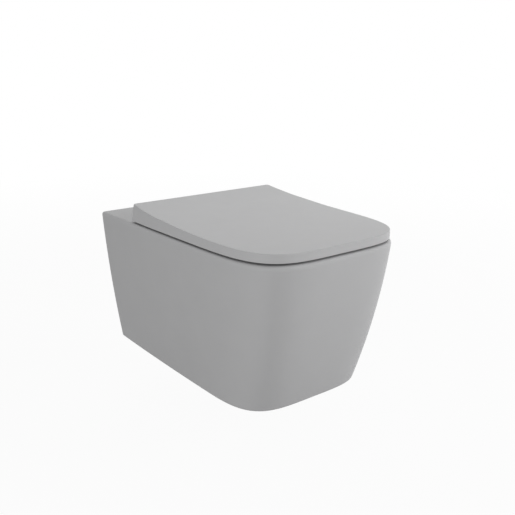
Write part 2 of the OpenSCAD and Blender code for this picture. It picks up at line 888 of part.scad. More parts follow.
module inlet_seal() {
    color(rubber)
    translate([0, 0, inlet_z])
        rotate([90, 0, 0])
            rotate_extrude()
                polygon([[seal_r, 0], [inlet_r, 0], [inlet_r - inlet_draft, inlet_deep],
                    [seal_r, inlet_deep]]);
}

pan();
seat();
lid();
hinge_block_left();
hinge_block_right();
damper_left();
damper_right();
hinge_shaft_left();
hinge_shaft_right();
release_button_left();
release_button_right();
hinge_posts();
hinge_rosettes();
fixing_plugs();
plug_nuts();
seat_buffers();
lid_buffers();
fixing_bushes();
clamp_screws();
clamp_washers();
inlet_seal();
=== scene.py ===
import bmesh
import bpy
import math
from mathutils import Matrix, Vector


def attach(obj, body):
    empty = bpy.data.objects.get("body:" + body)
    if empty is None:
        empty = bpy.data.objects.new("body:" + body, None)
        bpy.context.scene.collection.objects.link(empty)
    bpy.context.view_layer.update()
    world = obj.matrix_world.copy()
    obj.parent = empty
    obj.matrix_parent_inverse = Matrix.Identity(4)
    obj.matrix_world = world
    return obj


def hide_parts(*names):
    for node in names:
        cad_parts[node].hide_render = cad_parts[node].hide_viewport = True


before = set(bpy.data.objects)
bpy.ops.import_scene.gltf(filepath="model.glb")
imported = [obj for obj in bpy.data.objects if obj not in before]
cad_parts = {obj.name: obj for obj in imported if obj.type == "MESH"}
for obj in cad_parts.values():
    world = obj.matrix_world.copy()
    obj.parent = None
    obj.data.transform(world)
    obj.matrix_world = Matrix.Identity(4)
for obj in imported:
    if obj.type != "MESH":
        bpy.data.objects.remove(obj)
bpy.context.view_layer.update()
MM = 0.001

# Sizes are in millimetres, as in the source of the solids. y is the distance from the wall.

# The pan's outside
PAN_W = 360.0  # width of the rim at its widest
PROJECTION = 570.0  # from the wall to the front of the rim
PAN_H = 299.0  # from the underside to the rim
RIM_Z = 79.0  # height of the rim above the wall studs
REAR_W = 359.0  # width of the rim at the wall
SIDE_TAPER = 28.8  # how far each side draws in toward the underside, at the middle of the pan
REAR_TAPER = 33.8  # the same at the wall
FRONT_TAPER = 71.5  # how far the front draws back toward the underside
SIDE_BOW, REAR_BOW, FRONT_BOW = 0.43, 0.45, 0.48  # share of each taper that grows as the square of the depth
RIM_BAND = 9.0  # height of the upright band below the rim
RIM_ROUND = 5.5  # radius of the rim's outer edge
BASE_ROUND = 4.0  # radius of the bottom edge
PLAN_N, PLAN_M = 4.27, 6.25  # squareness of the plan across the pan, and along it at the rim
BASE_M = 4.6  # squareness of the plan along the pan at the underside
WIDEST_Y, BASE_WIDEST_Y = 224.0, 307.0  # where the plan is widest, at the rim and at the underside
PAN_CORNER = 3.0  # radius of the plan's corners at the wall
BASE_Z = RIM_Z - PAN_H

# The pan's walls and its hollow
WALL_T = 11.0  # skirt and underside
DECK_T = 14.0  # rim and deck
BACK_T = 14.0  # plate against the wall
OPENING_HW = 116.0  # half width of the opening in the back plate
OPENING_TOP_Z = -34.0
OPENING_SILL = 3.0  # height of the opening above the hollow's floor
OPENING_R = 20.0  # radius of the opening's corners

# The bowl and its sump
RIM_SIDE_W, RIM_FRONT_W = 42.0, 38.0  # width of the rim beside the bowl and in front of it
BOWL_HW = PAN_W / 2 - RIM_SIDE_W
BOWL_REAR_Y, BOWL_FRONT_Y = 205.0, PROJECTION - RIM_FRONT_W
BOWL_T = 10.0
BOWL_LIP = 5.0  # radius of the mouth's edge
BOWL_N, SUMP_N = 2.6, 2.2  # squareness of the mouth and of the sump
BOWL_DROP, BOWL_FALL = 1.6, 0.8  # powers that shape the bowl's sides
BOWL_SPREAD = 1.15  # power that spaces the bowl's rings a little wider toward the rim
WATER_Z = -100.0  # water level, at the sump's mouth
SUMP_Y, SUMP_HW, SUMP_HALF = 292.0, 58.0, 54.0  # middle, half width and half length of the sump's mouth
FLOOR_HW, FLOOR_HALF, FLOOR_BOW = 30.0, 30.0, 0.3  # the sump's floor, and how its walls bow down to it
TRAP_FLOOR_Z = BASE_Z + WALL_T + 3.5

# The trapway: back from the sump, up, over its crown, down and level again into the spigot
TRAP_R, TRAP_T = 28.0, 8.5  # inner radius and wall
TRAP_BEND, TRAP_TAIL_BEND = 48.0, 60.0  # radius of the first two bends and of the last one
TRAP_RISE, TRAP_FALL = math.radians(60.0), math.radians(30.0)
TRAP_TURN_Y, TRAP_LEG = 240.0, 62.0  # where the first bend starts, and the straight length behind it
TAIL_SHARE = 0.4  # share of the widening that the last bend starts with

# Connections and wall fixings
STUD_X = 90.0  # from the middle to each wall stud
INLET_Z, INLET_R, INLET_DEEP = 35.0, 27.5, 35.0
INLET_DRAFT = 0.4  # how much the inlet socket narrows over its depth
SOCKET_WALL = 8.0
FLUSH_R = 20.0  # radius of the flush duct
LEDGE_W, LEDGE_H, LEDGE_LEN, LEDGE_R = 84.0, 24.0, 45.0, 8.0  # slot through which the water enters
OUTLET_Z, SPIGOT_R, SPIGOT_T = -100.0, 51.0, 6.0
SPIGOT_BACK, SPIGOT_LEN = 8.0, 50.0  # set-back of the spigot's end from the wall, and its length
BUSH_R, BUSH_LEN, BUSH_GAP = 15.0, 58.0, 0.15  # bushes on the studs, and their clearance in the bosses
BOSS_T = 9.0  # wall round the bushes and the flush duct
CLAMP_Y, CLAMP_R, CLAMP_PLAY = 36.0, 4.0, 0.6  # clamp screws, and the play round them in the bosses
WASHER_R = 9.0  # radius of the washers, and of the key holes below them

# The lid
LID_INSET = 2.5  # inside the rim's outline
LID_GAP = 4.0  # between the rim and the lid's edge
LID_FRONT_H, LID_REAR_H = 19.4, 40.6  # height above the rim, toward the front and at the rear
LID_RAMP = 121.0  # length over which the wedge flattens out
LID_REAR_Y, LID_LEAN = 123.5, 12.9  # rear edge at the bottom, and how far the rear face leans forward
LID_T, LID_SKIRT_T = 4.5, 4.0  # thickness of the top and of the skirt
LID_REAR_W = 350.2  # width at the rear edge
LID_CORNER = 7.0  # radius of the rear corners
LID_FILLET = 1.5  # inside, between the top and the skirt
SKIRT_EASE, INNER_EASE = 0.8, 0.3  # rounding of the skirt's outer and inner lower edges
# The top edge has the solids' rounding at its rear and a crisper one, as the photograph shows, further on.
LID_ROUND, LID_CRISP = 2.5, 1.4
CRISP_FROM, CRISP_AT = 140.0, 190.0
LID_HW, LID_FRONT_Y = PAN_W / 2 - LID_INSET, PROJECTION - LID_INSET
LID_LOW, LID_TOP_REAR_Y = RIM_Z + LID_GAP, LID_REAR_Y + LID_LEAN

# The seat
SEAT_INSET = 6.5  # inside the lid's outline
SEAT_UP, SEAT_T = 4.0, 8.5  # underside above the rim, and thickness
SEAT_REAR_Y = 164.0
SEAT_CORNER = 9.0  # radius of the rear corners
SEAT_ROUND, SEAT_EASE = 3.0, 1.5  # rounding of the upper and lower outer edges
SEAT_SIDE_W, SEAT_FRONT_W = 61.0, 53.0  # width of the ring beside its opening and in front of it
SEAT_HW, SEAT_FRONT_Y = LID_HW - SEAT_INSET, LID_FRONT_Y - SEAT_INSET
SEAT_WIDEST_Y = WIDEST_Y + 40
SEAT_LOW = RIM_Z + SEAT_UP
SEAT_TOP = SEAT_LOW + SEAT_T
HOLE_HW, HOLE_REAR, HOLE_FRONT = SEAT_HW - SEAT_SIDE_W, 246.0, SEAT_FRONT_Y - SEAT_FRONT_W
HOLE_WIDE_SHARE = 0.435  # how far along the opening it is widest
HOLE_WIDE_Y = HOLE_REAR + (HOLE_FRONT - HOLE_REAR) * HOLE_WIDE_SHARE
HOLE_N = 2.7  # squareness of the opening
# How the opening's edge rolls in from the top: pairs of how far out and how far down.
HOLE_ROLL = ((14, 0), (10, 0.25), (6, 0.8), (3.5, 1.5), (1.5, 2.5), (0.5, 3.6), (0, 4.8),
             (0, SEAT_T - 1.5), (0.5, SEAT_T - 0.6))

# The hinges
HINGE_X, POST_Y = 77.5, 148.0  # the seat fixing holes
FIX_HOLE_R = 7.5
AXIS_Y, AXIS_Z = 132.5, RIM_Z + 21.0
BLOCK_W = 35.0
LUG_R, SEAT_LUG_W, LID_LUG_W = 8.0, 12.0, 8.0
LUG_GAP = 1.2  # between a lug and its hinge block
SHAFT_R, RUN_GAP = 3.0, 0.08  # hinge shafts, and the running clearance round them
BLOCK_IN, BLOCK_OUT = HINGE_X - BLOCK_W / 2, HINGE_X + BLOCK_W / 2
# The seat's lug is inside of each block and the lid's outside.
SEAT_LUG_X, LID_LUG_X = BLOCK_IN - LUG_GAP - SEAT_LUG_W, BLOCK_OUT + LUG_GAP
NOTCH_IN, NOTCH_OUT = SEAT_LUG_X - 1.5, LID_LUG_X + LID_LUG_W + 6
NOTCH_TOP_Z = AXIS_Z + 11

# The pads under the lid and the seat: places of the front and the rear pair, right of the middle
LID_PADS = ((PAN_W / 2 - 48, PROJECTION - 64), (PAN_W / 2 - 30, HOLE_REAR - 11))
SEAT_PADS = ((PAN_W / 2 - 56, PROJECTION - 82), (PAN_W / 2 - 40, HOLE_REAR + 6))
PAD_R, PEG_R, PEG_H = 6.0, 2.5, 2.8  # the pads, and the pegs that hold them
PAD_BOSS_H = 0.3  # how far the lid's bosses reach below its underside

# How finely the surfaces are divided
CORNER_STEPS, SIDE_STEPS, FRONT_STEPS = 8, 22, 84  # plans of the pan, the lid and the seat
HOLE_REAR_STEPS, HOLE_REAR_TURN = 38, 84.0  # rear part of the seat's opening, and its turn in degrees
BASE_STEPS, SKIRT_STEPS, RIM_STEPS = 6, 40, 8  # the pan's outside from the bottom edge up
HOLLOW_STEPS, OPENING_STEPS = 10, 14
BOWL_STEPS, BOWL_BACK_STEPS = 160, 96  # round the bowl, inside and outside
SUMP_RINGS, BOWL_RINGS, LIP_STEPS = 12, 36, 7  # the bowl's inside from the sump's floor up
SUMP_BACK_RINGS, BOWL_BACK_RINGS = 6, 14
TURN_STEPS, CROWN_STEPS, TAIL_STEPS = 10, 14, 8  # the trapway's three bends
LID_EASE_STEPS, LID_TOP_STEPS = 4, 6
SEAT_EASE_STEPS, SEAT_TOP_STEPS = 3, 6
ROD_STEPS, SPIGOT_STEPS, LUG_STEPS, SLAB_STEPS = 64, 96, 40, 10

PAST = 1.0  # how far a cut reaches past the face that it opens
SIDES = (-1, 1)


# Shapes

def mix(a, b, t):
    return a + (b - a) * t


def turns(steps, first=0):
    """The angles of a quarter turn in equal steps."""
    return [math.pi / 2 * k / steps for k in range(first, steps + 1)]


def quarter(r, turn):
    """Where a rounded edge is at a turn: how far from the face it leaves and from the face it meets."""
    return r * (1 - math.cos(turn)), r * (1 - math.sin(turn))


def bowed(q, bow):
    return (1 - bow) * q + bow * q * q


def side_x(hw, rw, ry, wy, y):
    return hw - (hw - rw) * ((wy - y) / (wy - ry)) ** 2


def half_plan(hw, rw, ry, wy, fy, n, m, corner):
    """The right half of a plan from the wall forward. hw and wy are its widest place, rw and ry its rear
    corner, fy its front, and n and m its squareness across and along."""
    points = []
    for a in turns(CORNER_STEPS):
        points.append((rw - corner + corner * math.sin(a), ry + corner - corner * math.cos(a)))
    for k in range(1, SIDE_STEPS):
        y = ry + corner + (wy - ry - corner) * k / SIDE_STEPS
        points.append((side_x(hw, rw, ry, wy, y), y))
    for a in turns(FRONT_STEPS)[:-1]:
        points.append((hw * math.cos(a) ** (2 / n), wy + (fy - wy) * math.sin(a) ** (2 / m)))
    return points + [(0.0, fy)]


def whole_plan(half):
    return half + [(-x, y) for x, y in half[-2::-1]]


def flat_ring(plan, z):
    return [(x, -y, z) for x, y in plan]


def moved_to(ring, z):
    return [(x, y, z) for x, y, _ in ring]


def add_mesh(name, points, faces):
    mesh = bpy.data.meshes.new(name)
    mesh.from_pydata([tuple(c * MM for c in p) for p in points], [], faces)
    mesh.validate()
    mesh.update()
    obj = bpy.data.objects.new(name, mesh)
    bpy.context.scene.collection.objects.link(obj)
    return obj


def orient(obj):
    bm = bmesh.new()
    bm.from_mesh(obj.data)
    bmesh.ops.recalc_face_normals(bm, faces=bm.faces)
    bm.to_mesh(obj.data)
    bm.free()
    return obj


def strip_ends(n, top):
    """Both ends of a skin, closed by strips between its mirrored halves."""
    faces = []
    half = (n - 1) // 2
    for i in range(half):
        strip = [i, i + 1, n - 1 - i] if i == half - 1 else [i, i + 1, n - 2 - i, n - 1 - i]
        faces.append(tuple(strip))
        faces.append(tuple(top + v for v in reversed(strip)))
    return faces


def skin(name, rings, ends="flat"):
    """A closed solid through a stack of rings. ends is flat, strip (in mirrored pairs) or join (last to
    first)."""
    n = len(rings[0])
    count = len(rings)
    faces = []
    for k in range(count if ends == "join" else count - 1):
        a, b = k * n, ((k + 1) % count) * n
        for i in range(n):
            j = (i + 1) % n
            faces.append((a + i, b + i, b + j, a + j))
    top = (count - 1) * n
    if ends == "flat":
        faces.append(tuple(range(n)))
        faces.append(tuple(top + i for i in range(n - 1, -1, -1)))
    if ends == "strip":
        faces += strip_ends(n, top)
    return add_mesh(name, [p for ring in rings for p in ring], faces)


def prism(name, outline, x0, width):
    """A profile of (y, z) points drawn out along X."""
    n = len(outline)
    points = [(x, -y, z) for x in (x0, x0 + width) for y, z in outline]
    faces = [tuple(range(n)), tuple(range(2 * n - 1, n - 1, -1))]
    faces += [(i, n + i, n + (i + 1) % n, (i + 1) % n) for i in range(n)]
    return orient(add_mesh(name, points, faces))


def side_prism(name, outline, side, x0, width):
    """A prism on the right side (1) or its mirror image on the left one (-1)."""
    return prism(name, outline, x0 if side > 0 else -x0 - width, width)


def rod_point(start, axis, u, v, d):
    """A point of a rod: d along its axis, u and v across it."""
    x, y, z = start
    if axis == "wall":
        return (x + u, -(y + d), z + v)
    if axis == "up":
        return (x + u, -y + v, z + d)
    return (x + d, -y + u, z + v)


def rod(name, r, start, axis, length, end_r=None, steps=ROD_STEPS):
    """A round rod from a point (x, y from the wall, z) along 'wall' (forward), 'up' or 'across'."""
    rings = []
    for d, ring_r in ((0.0, r), (length, r if end_r is None else end_r)):
        ring = []
        for k in range(steps):
            a = 2 * math.pi * k / steps
            ring.append(rod_point(start, axis, ring_r * math.cos(a), ring_r * math.sin(a), d))
        rings.append(ring)
    return orient(skin(name, rings))


def side_bar(name, r, side, x0, length):
    """A rod along the hinge axis, on the right side (1) or the left one (-1)."""
    return rod(name, r, (x0 if side > 0 else -x0 - length, AXIS_Y, AXIS_Z), "across", length)


def rounded_slab(name, w, h, z, y0, y1, r, steps=SLAB_STEPS):
    """A rounded rectangle across the pan about the height z, drawn out forward from y0 to y1."""
    outline = []
    for across, up, start in ((1, 1, 0), (-1, 1, 90), (-1, -1, 180), (1, -1, 270)):
        for k in range(steps + 1):
            a = math.radians(start + 90 * k / steps)
            outline.append((across * (w / 2 - r) + r * math.cos(a), z + up * (h / 2 - r) + r * math.sin(a)))
    return orient(skin(name, [[(x, -y, up) for x, up in outline] for y in (y0, y1)]))


def combine(base, others, operation):
    """Booleans of solids, applied at once; the tools are removed."""
    for tool in others:
        m = base.modifiers.new(tool.name, "BOOLEAN")
        m.object = tool
        m.operation = operation
        m.solver = "MANIFOLD"
    graph = bpy.context.evaluated_depsgraph_get()
    mesh = bpy.data.meshes.new_from_object(base.evaluated_get(graph))
    old = base.data
    base.modifiers.clear()
    base.data = mesh
    bpy.data.meshes.remove(old)
    for tool in others:
        data = tool.data
        bpy.data.objects.remove(tool)
        bpy.data.meshes.remove(data)
    return base


def smooth(obj, angle=32.0):
    for p in obj.data.polygons:
        p.use_smooth = True
    obj.data.set_sharp_from_angle(angle=math.radians(angle))
    m = obj.modifiers.new("even_normals", "WEIGHTED_NORMAL")
    m.keep_sharp = True
    m.weight = 60


def crease(obj, z):
    """Keeps a crisp line where both ends of an edge lie at one height."""
    mesh = obj.data
    at = [abs(v.co.z - z * MM) < 1e-6 for v in mesh.vertices]
    for e in mesh.edges:
        if at[e.vertices[0]] and at[e.vertices[1]]:
            e.use_edge_sharp = True


# The pan

def pan_plan(z, inset, rear_y):
    q = (RIM_Z - z) / PAN_H
    band = RIM_BAND / PAN_H
    below_band = max(0.0, (q - band) / (1 - band))
    return whole_plan(half_plan(
        PAN_W / 2 - SIDE_TAPER * bowed(below_band, SIDE_BOW) - inset,
        REAR_W / 2 - REAR_TAPER * bowed(q, REAR_BOW) - inset,
        rear_y, mix(WIDEST_Y, BASE_WIDEST_Y, q),
        PROJECTION - FRONT_TAPER * bowed(below_band, FRONT_BOW) - inset,
        PLAN_N, mix(PLAN_M, BASE_M, q), PAN_CORNER))


def pan_ring(z, inset=0.0, rear_y=0.0):
    return flat_ring(pan_plan(z, inset, rear_y), z)


def pan_outside():
    foot, shoulder = BASE_Z + BASE_ROUND, RIM_Z - RIM_BAND
    rings = []
    for a in turns(BASE_STEPS)[:-1]:
        up, inset = quarter(BASE_ROUND, a)
        rings.append(pan_ring(BASE_Z + up, inset))
    rings += [pan_ring(foot + (shoulder - foot) * k / SKIRT_STEPS) for k in range(SKIRT_STEPS + 1)]
    for a in turns(RIM_STEPS):
        inset, drop = quarter(RIM_ROUND, a)
        rings.append(pan_ring(RIM_Z - drop, inset))
    return skin("pan_casting", rings)


def pan_hollow():
    low, high = BASE_Z + WALL_T, RIM_Z - DECK_T
    return skin("hollow", [pan_ring(mix(low, high, k / HOLLOW_STEPS), WALL_T, BACK_T)
                           for k in range(HOLLOW_STEPS + 1)])


def back_opening():
    sill = BASE_Z + WALL_T + OPENING_SILL
    return rounded_slab("back_opening", 2 * OPENING_HW, OPENING_TOP_Z - sill, (OPENING_TOP_Z + sill) / 2,
                        -PAST, BACK_T + PAST, OPENING_R, OPENING_STEPS)


def bowl_ring(z, grow, steps=BOWL_STEPS):
    """The bowl's plan at a height, let out by a wall thickness."""
    down = min(1.0, max(0.0, (RIM_Z - z) / (RIM_Z - WATER_Z)))
    open_share = max(0.0, 1 - down ** BOWL_DROP) ** BOWL_FALL
    under = max(0.0, min(1.0, (WATER_Z - z) / (WATER_Z - TRAP_FLOOR_Z)))
    sump_rear, sump_front = SUMP_Y - SUMP_HALF, SUMP_Y + SUMP_HALF
    if z > WATER_Z:
        hw = mix(SUMP_HW, BOWL_HW, open_share)
        rear, front = mix(sump_rear, BOWL_REAR_Y, open_share), mix(sump_front, BOWL_FRONT_Y, open_share)
    else:
        hw = mix(SUMP_HW, FLOOR_HW, bowed(under, FLOOR_BOW))
        rear = mix(sump_rear, SUMP_Y - FLOOR_HALF, under)
        front = mix(sump_front, SUMP_Y + FLOOR_HALF, bowed(under, FLOOR_BOW))
    n = mix(SUMP_N, BOWL_N, open_share if down < 1 else 0.0)
    hw, rear, front = hw + grow, rear - grow, front + grow
    ring = []
    for k in range(steps):
        a = 2 * math.pi * k / steps
        c, s = math.cos(a), math.sin(a)
        x = hw * math.copysign(abs(c) ** (2 / n), c)
        y = (rear + front) / 2 + (front - rear) / 2 * math.copysign(abs(s) ** (2 / n), s)
        ring.append((x, -y, z))
    return ring


def bowl_rings(top_z, grow, below, above, steps):
    """The bowl from just above the sump's floor up to the water level, and on to a height below the rim.
    below and above are the numbers of rings."""
    rings = [bowl_ring(mix(TRAP_FLOOR_Z + 10, WATER_Z, k / below), grow, steps) for k in range(below)]
    return rings + [bowl_ring(mix(WATER_Z, top_z, (k / above) ** BOWL_SPREAD), grow, steps)
                    for k in range(above + 1)]


def bowl_inside():
    # Where the floor meets the sump's wall: height, how far in, and the height whose plan is drawn in.
    fillet = ((0.0, -7, 6), (1.2, -4, 7), (3.0, -2, 8))
    rings = [moved_to(bowl_ring(TRAP_FLOOR_Z + plan_up, grow), TRAP_FLOOR_Z + up)
             for up, grow, plan_up in fillet]
    rings += bowl_rings(RIM_Z - BOWL_LIP, 0, SUMP_RINGS, BOWL_RINGS, BOWL_STEPS)
    for a in turns(LIP_STEPS, 1):
        out, drop = quarter(BOWL_LIP, a)
        rings.append(bowl_ring(RIM_Z - drop, out))
    rings.append(moved_to(bowl_ring(RIM_Z, BOWL_LIP), RIM_Z + PAST))
    return skin("bowl_space", rings)


def bowl_outside():
    floor = moved_to(bowl_ring(TRAP_FLOOR_Z + 6, BOWL_T - 2, BOWL_BACK_STEPS), BASE_Z + 4)
    return skin("bowl_wall", [floor] + bowl_rings(RIM_Z - DECK_T / 2, BOWL_T, SUMP_BACK_RINGS,
                                                  BOWL_BACK_RINGS, BOWL_BACK_STEPS))


def trap_stations(r, end_r):
    """The trapway's route: distance from the wall, height, climb and radius at each station."""
    low = TRAP_FLOOR_Z + TRAP_R
    leg_y = TRAP_TURN_Y - TRAP_BEND * math.sin(TRAP_RISE)
    leg_z = low + TRAP_BEND * (1 - math.cos(TRAP_RISE))
    crown_y = leg_y - TRAP_LEG * math.cos(TRAP_RISE) - TRAP_BEND * math.sin(TRAP_RISE)
    crown_z = leg_z + TRAP_LEG * math.sin(TRAP_RISE) - TRAP_BEND * math.cos(TRAP_RISE)
    stations = [(SUMP_Y, low, 0.0, r)]
    for k in range(TURN_STEPS + 1):
        climb = TRAP_RISE * k / TURN_STEPS
        stations.append((TRAP_TURN_Y - TRAP_BEND * math.sin(climb), low + TRAP_BEND * (1 - math.cos(climb)),
                         climb, r))
    for k in range(CROWN_STEPS + 1):
        climb = TRAP_RISE - (TRAP_RISE + TRAP_FALL) * k / CROWN_STEPS
        stations.append((crown_y + TRAP_BEND * math.sin(climb), crown_z + TRAP_BEND * math.cos(climb),
                         climb, r))
    y, z = stations[-1][:2]
    bend = TRAP_TAIL_BEND
    fall_len = (z - OUTLET_Z - bend * (1 - math.cos(TRAP_FALL))) / math.sin(TRAP_FALL)
    y, z = y - fall_len * math.cos(TRAP_FALL), z - fall_len * math.sin(TRAP_FALL)
    for k in range(TAIL_STEPS + 1):
        fall = TRAP_FALL * (1 - k / TAIL_STEPS)
        stations.append((y - bend * (math.sin(TRAP_FALL) - math.sin(fall)),
                         z - bend * (math.cos(fall) - math.cos(TRAP_FALL)),
                         -fall, mix(r, end_r, mix(TAIL_SHARE, 1, k / TAIL_STEPS))))
    return stations


def trap_run(name, r, end_r):
    rings = []
    for y, z, climb, ring_r in trap_stations(r, end_r):
        ring = []
        for k in range(ROD_STEPS):
            a = 2 * math.pi * k / ROD_STEPS
            u, v = ring_r * math.cos(a), ring_r * math.sin(a)
            ring.append((u, -(y + v * math.sin(climb)), z + v * math.cos(climb)))
        rings.append(ring)
    return orient(skin(name, rings))


def flush_ledge(name, grow, past_bowl):
    """The ledge through which the water enters at the rear of the bowl, let out by a wall thickness."""
    return rounded_slab(name, LEDGE_W + 2 * grow, LEDGE_H + 2 * grow, INLET_Z,
                        BOWL_REAR_Y - LEDGE_LEN - grow, BOWL_REAR_Y + past_bowl, LEDGE_R)


def pan_walls():
    """What the hollow casting carries inside."""
    walls = [bowl_outside(),
             trap_run("trap_wall", TRAP_R + TRAP_T, SPIGOT_R - 2),
             rod("spigot", SPIGOT_R, (0, SPIGOT_BACK, OUTLET_Z), "wall", SPIGOT_LEN, steps=SPIGOT_STEPS),
             rod("inlet_boss", INLET_R + SOCKET_WALL, (0, BACK_T / 2, INLET_Z), "wall",
                 INLET_DEEP + SOCKET_WALL - BACK_T / 2),
             rod("duct_wall", FLUSH_R + BOSS_T, (0, INLET_DEEP, INLET_Z), "wall",
                 BOWL_REAR_Y - INLET_DEEP - BOWL_T),
             flush_ledge("ledge_wall", BOSS_T, 4)]
    for s in SIDES:
        walls.append(rod("boss", BUSH_R + BOSS_T, (s * STUD_X, BACK_T / 2, 0), "wall", BUSH_LEN))
    return walls


def pan_passages():
    """What is cut through the casting and its inner walls."""
    slope = INLET_DRAFT / INLET_DEEP
    cuts = [bowl_inside(),
            trap_run("trap_space", TRAP_R, SPIGOT_R - SPIGOT_T - 1),
            rod("spigot_bore", SPIGOT_R - SPIGOT_T, (0, SPIGOT_BACK - PAST, OUTLET_Z), "wall", SPIGOT_LEN,
                steps=SPIGOT_STEPS),
            rod("socket", INLET_R + slope, (0, -PAST, INLET_Z), "wall", INLET_DEEP + PAST,
                INLET_R - INLET_DRAFT),
            rod("duct", FLUSH_R, (0, INLET_DEEP - PAST, INLET_Z), "wall", BOWL_REAR_Y - INLET_DEEP),
            flush_ledge("ledge", 0, 12)]
    for s in SIDES:
        cuts += [rod("bush_bore", BUSH_R + BUSH_GAP, (s * STUD_X, -PAST, 0), "wall", BUSH_LEN + 2 * PAST),
                 rod("key_hole", WASHER_R, (s * STUD_X, CLAMP_Y, BASE_Z - PAST), "up", WALL_T + 2 * PAST),
                 rod("clamp_hole", CLAMP_R + CLAMP_PLAY, (s * STUD_X, CLAMP_Y, -BUSH_R - BOSS_T - 3), "up",
                     BOSS_T + 5),
                 rod("seat_hole", FIX_HOLE_R, (s * HINGE_X, POST_Y, RIM_Z - DECK_T - PAST), "up",
                     DECK_T + 2 * PAST)]
    return cuts


def build_pan():
    pan = combine(pan_outside(), [pan_hollow(), back_opening()], "DIFFERENCE")
    combine(pan, pan_walls(), "UNION")
    combine(pan, pan_passages(), "DIFFERENCE")
    smooth(pan)
    crease(pan, RIM_Z - RIM_BAND)
    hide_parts("pan")
    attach(pan, "pan")
    return pan


# The lid

def lid_top(y):
    return RIM_Z + LID_FRONT_H + (LID_REAR_H - LID_FRONT_H) * math.exp(-(y - LID_TOP_REAR_Y) / LID_RAMP)


def lid_back(z):
    return LID_REAR_Y + LID_LEAN * (z - LID_LOW) / (LID_REAR_H - LID_GAP)


PAD_Z = SEAT_TOP
PAD_H = lid_top(LID_PADS[0][1]) - LID_T - PAD_BOSS_H - PAD_Z


def lid_plan(inset, rear_y):
    return whole_plan(half_plan(LID_HW - inset, LID_REAR_W / 2 - inset, rear_y, WIDEST_Y, LID_FRONT_Y - inset,
                                PLAN_N, PLAN_M, LID_CORNER - inset))


def lid_ring(drop, inset):
    """A ring that follows the lid's top, lowered and drawn in."""
    rear_y = lid_back(RIM_Z + LID_REAR_H - drop) + inset
    return [(x, -y, lid_top(max(y, rear_y)) - drop) for x, y in lid_plan(inset, rear_y)]


def lid_edge(turn):
    """The ring at one turn of the top edge's rounding, from the side (0) to the top (90 degrees)."""
    solid_in, solid_drop = quarter(LID_ROUND, turn)
    crisp_in, crisp_drop = quarter(LID_CRISP, turn)
    ring = []
    for p, q in zip(lid_ring(solid_drop, solid_in), lid_ring(crisp_drop, crisp_in)):
        t = min(1.0, max(0.0, (-q[1] - CRISP_FROM) / (CRISP_AT - CRISP_FROM)))
        ring.append(tuple(mix(a, b, t) for a, b in zip(p, q)))
    return ring


def skirt_ring(z, inset, rear_y):
    return flat_ring(lid_plan(inset, rear_y), z)


def lid_shell():
    inner, ease = LID_SKIRT_T, LID_SKIRT_T - INNER_EASE
    part = 0.3 * LID_FILLET  # the fillet's middle ring lies this far from both faces
    rings = [lid_ring(LID_T, inner + LID_FILLET), lid_ring(LID_T + part, inner + part),
             lid_ring(LID_T + LID_FILLET, inner),
             skirt_ring(LID_LOW + INNER_EASE, inner, LID_REAR_Y + inner),
             skirt_ring(LID_LOW, ease, LID_REAR_Y + ease)]
    for a in turns(LID_EASE_STEPS):
        up, inset = quarter(SKIRT_EASE, a)
        rings.append(skirt_ring(LID_LOW + up, inset, lid_back(LID_LOW + up) + inset))
    rings += [lid_edge(a) for a in turns(LID_TOP_STEPS)]
    return skin("lid_cover", rings, "strip")


def lid_notch(side):
    """Room for a hinge block in the lid's rear face."""
    y0, y1, low = LID_TOP_REAR_Y - 14, LID_TOP_REAR_Y + 6, LID_LOW - PAST
    return side_prism("notch", [(y0, low), (y1, low), (y1, NOTCH_TOP_Z), (y0, NOTCH_TOP_Z)], side,
                      NOTCH_IN, NOTCH_OUT - NOTCH_IN)


def build_lug(name, web, side, x0, width):
    """A round lug about the hinge axis, joined to a web."""
    turn = 2 * math.pi / LUG_STEPS
    circle = [(AXIS_Y + LUG_R * math.cos(turn * k), AXIS_Z + LUG_R * math.sin(turn * k))
              for k in range(LUG_STEPS)]
    return combine(side_prism(name, circle, side, x0, width),
                   [side_prism(name + "_web", web, side, x0, width)], "UNION")


def lid_inner_parts():
    top_y = AXIS_Y + 22
    web = [(AXIS_Y - LUG_R * 0.9, AXIS_Z + 3),
           (LID_TOP_REAR_Y + 1.5, lid_top(LID_TOP_REAR_Y) - LID_T / 2 - 1),
           (top_y, lid_top(top_y) - LID_T / 2),
           (AXIS_Y + LUG_R, AXIS_Z)]
    parts = []
    for s in SIDES:
        parts.append(build_lug("lid_lug", web, s, LID_LUG_X, LID_LUG_W))
        parts += [rod("pad_boss", PAD_R + 1, (s * x, y, PAD_Z + PAD_H), "up",
                      lid_top(y) - LID_T / 2 - PAD_Z - PAD_H) for x, y in LID_PADS]
    return parts


def lid_bores():
    cuts = []
    for s in SIDES:
        cuts.append(side_bar("lid_bore", SHAFT_R + RUN_GAP, s, BLOCK_OUT, LUG_GAP + LID_LUG_W + PAST))
        cuts += [rod("peg_hole", PEG_R, (s * x, y, PAD_Z), "up", PAD_H + PEG_H) for x, y in LID_PADS]
    return cuts


def build_lid():
    lid = combine(lid_shell(), [lid_notch(s) for s in SIDES], "DIFFERENCE")
    combine(lid, lid_inner_parts(), "UNION")
    combine(lid, lid_bores(), "DIFFERENCE")
    smooth(lid)
    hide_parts("lid")
    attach(lid, "lid")
    return lid


# The seat

def seat_plan(inset):
    return whole_plan(half_plan(SEAT_HW - inset, LID_REAR_W / 2 - SEAT_INSET - inset, SEAT_REAR_Y + inset,
                                SEAT_WIDEST_Y, SEAT_FRONT_Y - inset, PLAN_N, PLAN_M, SEAT_CORNER - inset))


